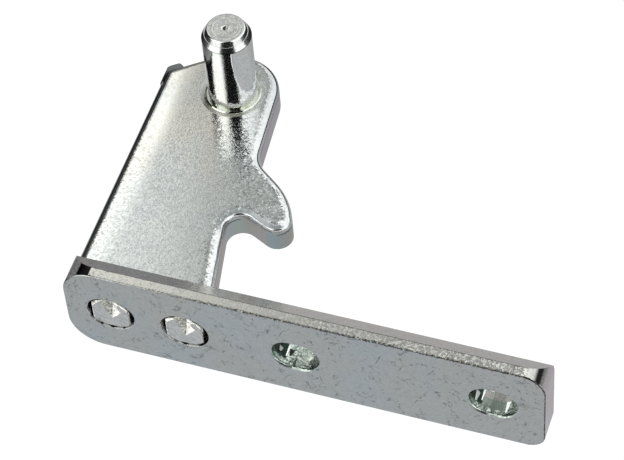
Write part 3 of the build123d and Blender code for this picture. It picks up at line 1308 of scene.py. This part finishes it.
@dataclass(frozen=True)
class FlangePlating(Metal):
    """Dull scuffed zinc of the mounting flange, with sheared ends and punched holes."""

    cool: Colour = (0.545, 0.58, 0.603)
    warm: Colour = (0.57, 0.572, 0.555)
    bevel: Colour = (0.79, 0.76, 0.735)
    strip: Colour = (0.73, 0.725, 0.695)
    end: Colour = (0.72, 0.65, 0.69)
    scuff: Colour = (0.13, 0.135, 0.14)
    burr: Colour = (0.05, 0.045, 0.04)
    torn: Colour = (0.42, 0.42, 0.43)
    # Near black painted shade: the patch at the left end, the wedge at the right end and the gaps round the
    # tenon heads.
    painted_shade: Colour = (0.012, 0.011, 0.011)
    # Pale dull patches that break the painted shade round the tenon heads: painted highlight.
    seam: Colour = (0.75, 0.76, 0.76)
    slot_dark: Colour = (0.34, 0.41, 0.37)
    slot_light: Colour = (0.70, 0.78, 0.73)
    slot_shade: Colour = (0.02, 0.034, 0.03)
    slot_calm: Colour = (0.31, 0.37, 0.33)
    slot_rear: Colour = (0.45, 0.445, 0.43)
    sliver_tint: Colour = (0.93, 1.0, 0.97)
    # Facings, as parts of the surface normal, at which each look begins and ends.
    front_faces: Ramp = (-0.98, -0.80)
    strip_faces: Ramp = (0.93, 0.99)
    bevel_faces: Ramp = (0.4, 0.6)
    end_faces: Ramp = (0.8, 0.95)
    upper_faces: Band = (-0.6, -0.4, 0.2, 0.4)
    torn_faces: Ramp = (0.84, 0.88)
    painted_shade_faces: Band = (0.84, 0.88, 0.992, 0.997)
    shade_wedge_faces: Band = (0.58, 0.70, 0.80, 0.90)
    # The dark rim on the right end's rounded front corner is painted shade.
    rim_shade_faces: Band = (-0.97, -0.90, -0.45, -0.25)
    wall_faces: Ramp = (0.70, 0.90)
    # Grain, tint and marks of the faces.
    grain_mm: float = 0.42
    grain_depth_mm: float = 0.015
    face_lean: float = 0.03
    strip_lean: float = 0.13
    face_flecks: Ramp = (0.94, 1.05)
    strip_flecks: Ramp = (0.70, 1.16)
    roughs: Ramp = (0.24, 0.34)
    wash_mm: float = 18.0
    warm_x_mm: Ramp = (62.0, 84.0)
    warm_share: float = 0.85
    scuff_shares: Ramp = (0.4, 1.0)
    scuff_depth: float = 0.5
    unroll: Ramp = (0.6, 0.8)
    scatters: tuple[tuple[float, float, float], ...] = (
        (2.1, 0.13, 0.2),
        (4.3, 0.15, 0.42),
        (9.0, 0.18, 0.7),
    )
    scatter_shift_mm: Point = (7.3, 3.1, 0.0)
    hairs: tuple[tuple[float, float], ...] = ((7.0, 0.10), (13.0, 0.09))
    hair_share: float = 0.75
    pit_gap_mm: float = 6.0
    pit_mm: float = 0.28
    pit_core: float = 0.5
    # Burred edges and sheared ends.
    burr_mm: float = 0.72
    burr_x_mm: Ramp = (-8.0, 25.0)
    burr_shares: Ramp = (0.45, 1.0)
    strip_mm: float = 2.74
    ridge_mm: float = 0.35
    ridge_share: float = 0.7
    torn_ramp: Band = (0.3, 0.7, 0.4, 1.2)
    torn_dull: float = 0.8
    left_end_mm: Ramp = (8.0, 9.0)
    right_end_mm: Ramp = (6.0, 7.0)
    rim_shade_end_mm: Ramp = (4.5, 5.5)
    rim_ramp: Ramp = (0.3, 0.5)
    # Holes.
    hole_end_mm: Ramp = (3.0, 3.5)
    hole_half_mm: Ramp = (5.9, 6.2)
    slots_from_mm: Ramp = (27.0, 28.0)
    seam_scale: float = 0.32
    seam_ramp: Ramp = (0.42, 0.54)
    slot_lean: float = 0.13
    slot_ramp: Ramp = (0.15, 0.85)
    shade_x_mm: Ramp = (-3.3, -3.0)
    shade_depth_mm: Ramp = (1.6, 2.6)
    shade_ragged_mm: float = 0.8
    rear_mm: Ramp = (4.3, 4.7)
    calm_x_mm: Band = (-3.4, -3.2, 2.9, 3.1)
    calm_depth_mm: Ramp = (1.5, 1.9)
    calm_dull: float = 0.6
    # Each facet leans to mirror the tent, and its tone also paints it lighter or darker: near white tones
    # are painted highlight, the near black one is painted shade.
    slivers: tuple[Sliver, ...] = (
        # Near black: painted shade in the inner slot.
        Sliver(-2.5, 0.65, (3.0, 5.2), False, (-0.05, -0.70, 0.715), 0.02),
        Sliver(-3.35, 0.32, (2.4, 6.6), False, (-0.05, -0.70, 0.715), 0.9),
        Sliver(-4.85, 0.50, (2.7, 4.4), False, (0.526, -0.514, 0.677), 0.35),
        Sliver(-3.55, 0.34, (2.8, 7.0), True, (-0.05, -0.70, 0.715), 0.9),
        Sliver(-4.75, 0.55, (1.8, 5.0), True, (0.526, -0.514, 0.677), 0.45),
        Sliver(2.75, 0.50, (1.2, 4.8), True, (-0.05, -0.70, 0.715), 0.85),
        Sliver(-1.95, 0.85, (6.2, 6.9), True, (-0.05, -0.70, 0.715), 0.9),
    )

    def material(self, effects: Effects, low: Vector, high: Vector) -> bpy.types.Material:
        """Builds the finish.

        Args:
            effects: the shared effects.
            low: the bar's lowest corner, in millimetres.
            high: the bar's highest corner, in millimetres.

        Returns:
            The material.
        """
        material, graph = self.start()
        at = graph.surface()
        spot = self.spot(graph, at, low, high)
        strip = graph.step(at.face_z, *self.strip_faces)
        front = graph.fall(at.face_y, *self.front_faces)
        grain = effects.grain.use(graph, Place=at.place, Size=self.grain_mm)
        marks = self.marks(graph, effects, self.unrolled(graph, at))
        torn, painted_shade, rim = self.sheared_ends(graph, at, spot, grain["Height"])
        colour = self.zinc(graph, effects, at, strip, grain["Fleck"])
        colour = graph.mix(graph.times(marks, graph.ease(front, *self.scuff_shares)), colour, self.scuff)
        colour = self.burred(graph, effects, at, spot, colour)
        tatters = graph.scaled(self.torn, graph.step(grain["Height"], *self.torn_ramp))
        # Torn metal, then painted shade and a dark rim of painted shade, over the sheared ends.
        for share, tint in ((torn, tatters), (painted_shade, self.painted_shade), (rim, self.burr)):
            colour = graph.mix(share, colour, tint)
        bore = self.bored(graph, at, spot)
        calm = self.calm_land(graph, spot)
        glint_patches = self.glint_patches(graph, at, spot)
        walls = self.bore_colour(graph, spot, grain["Fleck"], calm, glint_patches)
        colour = graph.mix(bore, colour, walls)
        tilt = graph.ease(strip, self.face_lean, self.strip_lean)
        rough_bore = graph.times(bore, graph.rest(calm), self.slot_lean)
        lean = graph.scaled(grain["Lean"], graph.plus(tilt, rough_bore))
        plain: Value = 1.0
        for sliver in self.slivers:
            share = graph.times(bore, sliver.share(graph, spot))
            # Painted light on each facet, from a white highlight to near black shade by its tone.
            colour = graph.mix(share, colour, tuple(sliver.tone * part for part in self.sliver_tint))
            lean = graph.mix(share, lean, graph.vector("SUBTRACT", sliver.faces, at.faces))
            plain = graph.times(plain, graph.rest(share))
        dull = graph.most(graph.times(torn, self.torn_dull), graph.times(bore, glint_patches))
        dull = graph.most(dull, graph.times(bore, calm, plain, self.calm_dull))
        height = graph.minus(grain["Height"], graph.times(marks, self.scuff_depth))
        normal = self.relief(graph, height, self.grain_depth_mm, lean)
        self.close(graph, colour, graph.ease(front, *self.roughs), normal, graph.rest(dull))
        return material

    def spot(self, graph: Graph, at: Surface, low: Vector, high: Vector) -> BarSpot:
        """Measures where on the bar a point lies.

        Args:
            graph: the material's graph.
            at: the point that is shaded.
            low: the bar's lowest corner, in millimetres.
            high: the bar's highest corner, in millimetres.

        Returns:
            The distances.
        """
        slots = next(mount for mount in frame["record"]["mounts"] if mount["name"] == "screw_slots")
        pitch = slots["dims"]["spacing_x_mm"]
        from_middle = graph.minus(at.x, slots["pos_m"][0] / MM)
        return BarSpot(
            from_left=graph.minus(at.x, low.x),
            from_right=graph.minus(high.x, at.x),
            depth=graph.minus(at.y, low.y),
            under=graph.off(high.z, at.z),
            off_middle=graph.off(at.z, (low.z + high.z) / 2.0),
            along_slot=graph.minus(graph.math("FLOORED_MODULO", from_middle, pitch), pitch / 2.0),
            outer_slot=graph.math("GREATER_THAN", from_middle, 0.0),
            slotted=graph.step(at.x, *self.slots_from_mm),
        )

    def zinc(self, graph: Graph, effects: Effects, at: Surface, strip: Socket, fleck: Socket) -> Socket:
        """Works out the colour of the sound plating, bolder in its grain on the top strip.

        Args:
            graph: the material's graph.
            effects: the shared effects.
            at: the point that is shaded.
            strip: 1 on the top strip.
            fleck: light of each crystal.

        Returns:
            The colour.
        """
        drift = effects.wash.use(graph, Place=at.place, Size=self.wash_mm)["Drift"]
        drift = graph.most(drift, graph.step(at.x, *self.warm_x_mm, 0.0, self.warm_share))
        colour = graph.mix(drift, self.cool, self.warm)
        colour = graph.mix(graph.step(at.face_y, *self.bevel_faces), colour, self.bevel)
        colour = graph.mix(strip, colour, self.strip)
        colour = graph.mix(graph.step(at.face_x, *self.end_faces), colour, self.end)
        calm = graph.ease(fleck, *self.face_flecks)
        bold = graph.ease(fleck, *self.strip_flecks)
        return graph.scaled(colour, graph.plus(calm, graph.times(strip, graph.minus(bold, calm))))

    def burred(self, graph: Graph, effects: Effects, at: Surface, spot: BarSpot, colour: Socket) -> Socket:
        """Lays ragged burr lines along the front and the rear edge of the top strip.

        Args:
            graph: the material's graph.
            effects: the shared effects.
            at: the point that is shaded.
            spot: where on the flange it lies.
            colour: colour under the burr.

        Returns:
            The colour.
        """
        for edge_mm, width_mm, share in (
            (0.0, self.burr_mm, graph.step(at.x, *self.burr_x_mm, *self.burr_shares)),
            (self.strip_mm, self.ridge_mm, self.ridge_share),
        ):
            distance = graph.plus(graph.off(spot.depth, edge_mm), spot.under)
            burr = effects.burr.use(graph, Place=at.place, Distance=distance, Width=width_mm)["Mask"]
            colour = graph.mix(graph.times(burr, share), colour, self.burr)
        return colour

    def sheared_ends(
        self, graph: Graph, at: Surface, spot: BarSpot, height: Socket
    ) -> tuple[Socket, Socket, Socket]:
        """Works out where the sheared ends are torn, where they get painted shade and where their rounded
        corner gets a dark rim of painted shade.

        Args:
            graph: the material's graph.
            at: the point that is shaded.
            spot: where on the flange it lies.
            height: height of the crystals.

        Returns:
            Masks of the torn metal, of the painted shade and of the dark rim of painted shade.
        """
        upper = graph.band(at.face_y, *self.upper_faces)
        left = graph.times(upper, graph.fall(spot.from_left, *self.left_end_mm))
        right = graph.times(upper, graph.fall(spot.from_right, *self.right_end_mm))
        torn = graph.times(left, graph.fall(at.face_z, *self.torn_faces))
        # Painted shade: a near black patch on the top strip at the left end.
        painted_shade = graph.times(left, graph.band(at.face_z, *self.painted_shade_faces))
        # Painted shade: a near black wedge on the sloped corner face at the right end.
        shade_wedge = graph.times(right, graph.band(at.face_z, *self.shade_wedge_faces))
        # Painted shade: a ragged dark rim on the rounded front corner at the right end, in the burr's
        # colour.
        rim = graph.times(
            graph.band(at.face_y, *self.rim_shade_faces),
            graph.fall(spot.from_right, *self.rim_shade_end_mm),
            graph.step(height, *self.rim_ramp),
        )
        return torn, graph.most(painted_shade, shade_wedge), rim

    def bored(self, graph: Graph, at: Surface, spot: BarSpot) -> Socket:
        """Works out where the walls of the punched holes are.

        Args:
            graph: the material's graph.
            at: the point that is shaded.
            spot: where on the flange it lies.

        Returns:
            1 on the walls of the holes.
        """
        return graph.times(
            graph.fall(spot.off_middle, *self.hole_half_mm),
            graph.step(spot.from_left, *self.hole_end_mm),
            graph.step(spot.from_right, *self.hole_end_mm),
            graph.fall(graph.math("ABSOLUTE", at.face_y), *self.wall_faces),
        )

    def calm_land(self, graph: Graph, spot: BarSpot) -> Socket:
        """Works out where the punch left a smooth land in the outer slot.

        Args:
            graph: the material's graph.
            spot: where on the flange the shaded point lies.

        Returns:
            1 on the land.
        """
        inside = graph.band(spot.along_slot, *self.calm_x_mm)
        return graph.times(inside, graph.step(spot.depth, *self.calm_depth_mm), spot.outer_slot)

    def glint_patches(self, graph: Graph, at: Surface, spot: BarSpot) -> Socket:
        """Works out pale patches on the walls of the tenon holes, which break the painted shade there:
        painted highlight.

        Args:
            graph: the material's graph.
            at: the point that is shaded.
            spot: where on the flange it lies.

        Returns:
            1 on the pale patches.
        """
        patch = graph.step(graph.noise(at.place, self.seam_scale), *self.seam_ramp)
        return graph.times(patch, graph.rest(spot.slotted))

    def bore_colour(
        self, graph: Graph, spot: BarSpot, fleck: Socket, calm: Socket, glint_patches: Socket
    ) -> Socket:
        """Works out the colour of the hole walls: painted shade round the tenons, broken by pale patches of
        painted highlight, and mottled green grey in the slots.

        Args:
            graph: the material's graph.
            spot: where on the flange the shaded point lies.
            fleck: light of each crystal.
            calm: 1 on the smooth land.
            glint_patches: 1 on the pale patches of painted highlight round the tenons.

        Returns:
            The colour.
        """
        mottled = graph.mix(graph.step(fleck, *self.slot_ramp), self.slot_dark, self.slot_light)
        ragged = graph.plus(spot.depth, graph.times(fleck, self.shade_ragged_mm))
        shade = graph.times(
            graph.fall(spot.along_slot, *self.shade_x_mm), graph.step(ragged, *self.shade_depth_mm)
        )
        mottled = graph.mix(shade, mottled, self.slot_shade)
        # Painted shade round the tenon heads, broken by pale patches of painted highlight.
        walls = graph.mix(spot.slotted, graph.mix(glint_patches, self.painted_shade, self.seam), mottled)
        land = graph.mix(graph.step(spot.depth, *self.rear_mm), self.slot_calm, self.slot_rear)
        return graph.mix(calm, walls, land)

    def unrolled(self, graph: Graph, at: Surface) -> Socket:
        """Lays the bar's faces out flat, so that scratches run over all of them.

        Args:
            graph: the material's graph.
            at: the point that is shaded.

        Returns:
            Flat coordinates.
        """
        aside, down = self.unroll
        return graph.joined(
            graph.plus(at.x, graph.times(at.y, aside)),
            graph.minus(at.z, graph.times(at.y, down)),
        )

    def marks(self, graph: Graph, effects: Effects, sheet: Socket) -> Socket:
        """Lays scatters of scratches, two sizes of hairline and a few pits over each other.

        Args:
            graph: the material's graph.
            effects: the shared effects.
            sheet: flat coordinates.

        Returns:
            Mask of the marks.
        """
        marks: Value = 0.0
        for turn, (spacing, width, share) in enumerate(self.scatters):
            moved = graph.vector("ADD", sheet, tuple(turn * part for part in self.scatter_shift_mm))
            scatter = effects.scuffs.use(graph, Place=moved, Spacing=spacing, Width=width, Share=share)
            marks = graph.most(marks, scatter["Mask"])
        for size, width in self.hairs:
            hair = effects.hairs.use(graph, Place=sheet, Size=size, Width=width)
            marks = graph.most(marks, graph.times(hair["Mask"], self.hair_share))
        pit = graph.cells(sheet, Spread.SHEET, 1.0 / self.pit_gap_mm)
        reach = graph.times(graph.parts(pit.outputs["Color"])[0], self.pit_mm / self.pit_gap_mm)
        pits = graph.fall(pit.outputs["Distance"], graph.times(reach, self.pit_core), reach)
        return graph.most(marks, pits)


@dataclass(frozen=True)
class PinPlating(Metal):
    """Bright turned finish of the pin, tinted where the plating pooled at its foot."""

    bright: Colour = (0.88, 0.90, 0.90)
    foot: Colour = (0.70, 0.73, 0.63)
    dark: Colour = (0.03, 0.03, 0.03)
    # Facings, as parts of the surface normal, at which each look begins and ends.
    tip_faces: Ramp = (0.9, 0.99)
    cone_faces: Band = (0.3, 0.4, 0.55, 0.65)
    dimple_faces: Ramp = (0.8, 0.85)
    # Grain, turned rings and roughness.
    grain_mm: float = 0.45
    side_lean: float = 0.03
    foot_lean: float = 0.10
    foot_lean_mm: Ramp = (2.0, 8.0)
    tip_lean: float = 0.10
    flecks: Ramp = (0.86, 1.05)
    ring_mm: float = 0.55
    ring_depth_mm: float = 0.045
    side_share: float = 0.05
    cone_share: float = 0.3
    roughs: Ramp = (0.08, 0.18)
    cone_rough: float = 0.09
    # Tint of the foot, shoulder line, painted shade on the left side and in the dimple's centre, and
    # dimpled tip.
    foot_mm: float = 3.0
    foot_wash_mm: float = 3.0
    foot_shares: Ramp = (0.4, 1.0)
    shoulder_mm: float = 21.3
    shoulder_off_mm: Ramp = (0.068, 0.17)
    shoulder_share: float = 0.75
    left_faces: Heading = (-0.926, -0.377, 0.0)
    left_ramp: Ramp = (0.82, 0.96)
    left_shade_tone: float = 0.42
    tip_tone: float = 0.90
    # Painted shade in the dimple's centre.
    centre_mm: Ramp = (0.65, 0.8)
    centre_x_mm: Ramp = (-0.2, 0.1)
    dimple_mm: Band = (0.5, 0.7, 1.1, 1.12)
    dimple_lean: float = 0.6

    def material(self, effects: Effects) -> bpy.types.Material:
        """Builds the finish.

        Args:
            effects: the shared effects.

        Returns:
            The material.
        """
        material, graph = self.start()
        at = graph.surface()
        radius = graph.radius(at)
        tip = graph.step(at.face_z, *self.tip_faces)
        cone = graph.band(at.face_z, *self.cone_faces)
        dimple = graph.step(at.face_z, *self.dimple_faces)
        grain = effects.grain.use(graph, Place=at.place, Size=self.grain_mm)
        colour = self.tinted(graph, effects, at, grain["Fleck"])
        # Painted shade: the left half of the dimple's centre is darkened to near black.
        centre = graph.times(
            graph.fall(radius, *self.centre_mm), graph.fall(at.x, *self.centre_x_mm), dimple
        )
        colour = graph.toned(graph.mix(centre, colour, self.dark), tip, self.tip_tone)
        seam = graph.fall(graph.off(at.z, self.shoulder_mm), *self.shoulder_off_mm)
        colour = graph.mix(graph.times(seam, self.shoulder_share), colour, self.dark)
        # Painted shade: faces turned towards the left are darkened.
        facing = graph.vector("DOT_PRODUCT", graph.joined(at.face_x, at.face_y), self.left_faces)
        colour = graph.scaled(colour, graph.step(facing, *self.left_ramp, 1.0, self.left_shade_tone))
        rings = graph.noise(graph.joined(radius, 0.0, 0.0), 1.0 / self.ring_mm)
        turned = graph.noise(graph.joined(at.z, 0.0, 0.0), 1.0 / self.ring_mm)
        bite = graph.plus(graph.times(cone, self.cone_share), self.side_share)
        height = graph.plus(graph.times(tip, rings), graph.times(turned, bite))
        side_lean = graph.step(at.z, *self.foot_lean_mm, self.foot_lean, self.side_lean)
        lean = graph.scaled(grain["Lean"], graph.ease(tip, side_lean, self.tip_lean))
        mouth = graph.times(graph.band(radius, *self.dimple_mm), dimple, self.dimple_lean)
        lean = graph.pushed(lean, graph.joined(at.x, at.y), mouth)
        roughness = graph.plus(graph.ease(tip, *self.roughs), graph.times(cone, self.cone_rough))
        self.close(graph, colour, roughness, self.relief(graph, height, self.ring_depth_mm, lean))
        return material

    def tinted(self, graph: Graph, effects: Effects, at: Surface, fleck: Socket) -> Socket:
        """Works out the colour of the plating, greener at the foot.

        Args:
            graph: the material's graph.
            effects: the shared effects.
            at: the point that is shaded.
            fleck: light of each crystal.

        Returns:
            The colour.
        """
        drift = effects.wash.use(graph, Place=at.place, Size=self.foot_wash_mm)["Drift"]
        low = graph.times(graph.fall(at.z, 0.0, self.foot_mm), graph.ease(drift, *self.foot_shares))
        return graph.scaled(graph.mix(low, self.bright, self.foot), graph.ease(fleck, *self.flecks))


@dataclass
class Piece:
    """One solid of the hinge and the node that carries it."""

    node: str

    def box_mm(self) -> tuple[Vector, Vector]:
        """Returns the solid's lowest and highest corners in millimetres."""
        low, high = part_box(self.node)
        return Vector(low) / MM, Vector(high) / MM

    def cover(self, material: bpy.types.Material) -> None:
        """Covers the solid with a finish.

        Args:
            material: the finish.
        """
        mesh = frame["nodes"][self.node].data
        mesh.materials.clear()
        mesh.materials.append(material)
        LOG.info("dressed %s in %s", self.node, material.name)


@dataclass
class Flange(Piece):
    """Upright bar that is screwed to the cabinet."""

    node: str = "mounting_flange"
    plating: FlangePlating = FlangePlating("flange_plating")

    def dress(self, effects: Effects) -> None:
        """Plates the bar with the shared effects."""
        self.cover(self.plating.material(effects, *self.box_mm()))


@dataclass
class Arm(Piece):
    """Hooked plate that is staked into the flange and carries the pin."""

    node: str = "hinge_arm"
    flange_node: str = "mounting_flange"
    plating: ArmPlating = ArmPlating("arm_plating")

    def dress(self, effects: Effects) -> None:
        """Plates the arm with the shared effects."""
        front, rear = (Vector(corner).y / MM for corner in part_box(self.flange_node))
        self.cover(self.plating.material(effects, front, rear))


@dataclass
class Pin(Piece):
    """Turned pin that the door swings on."""

    node: str = "hinge_pin"
    plating: PinPlating = PinPlating("pin_plating")

    def dress(self, effects: Effects) -> None:
        """Plates the pin with the shared effects."""
        self.cover(self.plating.material(effects))


def main() -> None:
    """Sets up the studio, then dresses the hinge piece by piece."""
    logging.basicConfig(level=logging.INFO)
    Studio().build()
    effects = Effects()
    for piece in (Flange(), Arm(), Pin()):
        piece.dress(effects)


if __name__ == "__main__":
    main()
